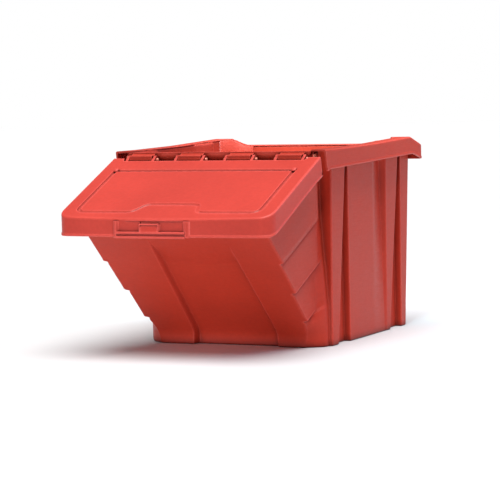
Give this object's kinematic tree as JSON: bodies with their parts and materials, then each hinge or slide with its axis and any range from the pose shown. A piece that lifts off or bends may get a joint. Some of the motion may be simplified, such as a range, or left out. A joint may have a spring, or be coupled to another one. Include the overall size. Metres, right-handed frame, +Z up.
{
  "type": "stackable storage bin",
  "caption": "Open-topped plastic bin with a sloping hopper front, stepped sides, a stacking rim and a hinged, latching lid over the mouth.",
  "frame": {"origin": "on the floor, under the centre of the bin's bounding box", "axes": "+X to the right seen from the front, +Y from the hopper to the rear wall, +Z up"},
  "size_m": [0.4, 0.635, 0.343],
  "materials": {
    "bin_plastic": "satin moulded red polypropylene",
    "lid_plastic": "satin moulded red polypropylene",
    "peg_plastic": "polished moulded red plastic"
  },
  "bodies": {
    "bin": {"bin_body": "bin_plastic", "hinge_rail": "bin_plastic", "hinge_pin_1": "peg_plastic", "hinge_pin_2": "peg_plastic", "hinge_pin_3": "peg_plastic", "hinge_pin_4": "peg_plastic", "rail_rivet_left": "peg_plastic", "rail_rivet_right": "peg_plastic"},
    "lid": {"lid_panel": "lid_plastic"},
    "latch": {"latch_tongue": "lid_plastic"}
  },
  "joints": [
    {"name": "lid_hinge", "type": "hinge", "parent": "bin", "child": "lid", "pos_m": [0, -0.112, 0.32], "axis": [-1, 0, 0], "range_deg": [0, 120]},
    {"name": "latch_flex", "type": "hinge", "parent": "lid", "child": "latch", "pos_m": [-0.0175, -0.313, 0.2115], "axis": [1, 0, 0], "range_deg": [0, 8], "stiffness_Nm_per_rad": 0.5}
  ]
}
